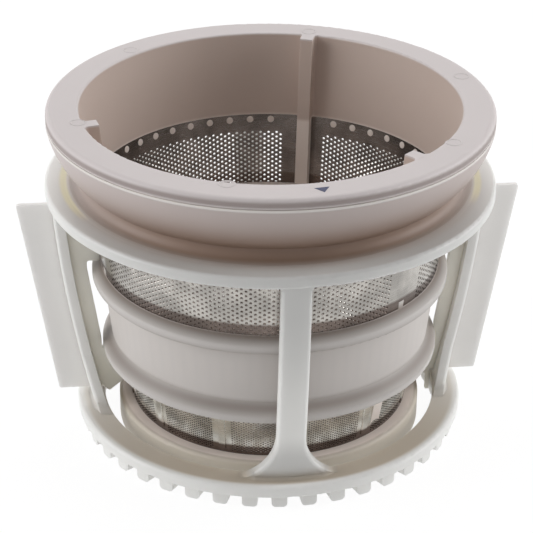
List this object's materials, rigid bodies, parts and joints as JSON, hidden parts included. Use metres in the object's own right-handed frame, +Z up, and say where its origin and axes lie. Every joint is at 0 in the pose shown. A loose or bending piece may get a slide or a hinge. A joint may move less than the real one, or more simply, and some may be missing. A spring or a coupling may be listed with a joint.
{
  "type": "juicer mesh screen",
  "caption": "Perforated steel and plastic strainer of a slow juicer, standing in a turning cage whose soft side blades wipe the bowl.",
  "frame": {"origin": "on the axis, at the height of the strainer's foot", "axes": "+Z up along the axis of rotation, -Y towards the front post, +X towards the right-hand wiper blade"},
  "size_m": [0.1194, 0.1058, 0.0814],
  "materials": {
    "strainer_plastic": "satin",
    "screen_steel": "brushed",
    "cage_plastic": "satin",
    "blade_silicone": "matte"
  },
  "bodies": {
    "strainer": {"strainer_frame": "strainer_plastic", "upper_screen": "screen_steel", "lower_screen": "screen_steel"},
    "cage": {"wiper_cage": "cage_plastic", "wiper_blade_left": "blade_silicone", "wiper_blade_right": "blade_silicone"}
  },
  "joints": [
    {"name": "cage_turn", "type": "hinge", "parent": "strainer", "child": "cage", "pos_m": [0, 0, 0.0621], "axis": [0, 0, 1], "continuous": true}
  ]
}
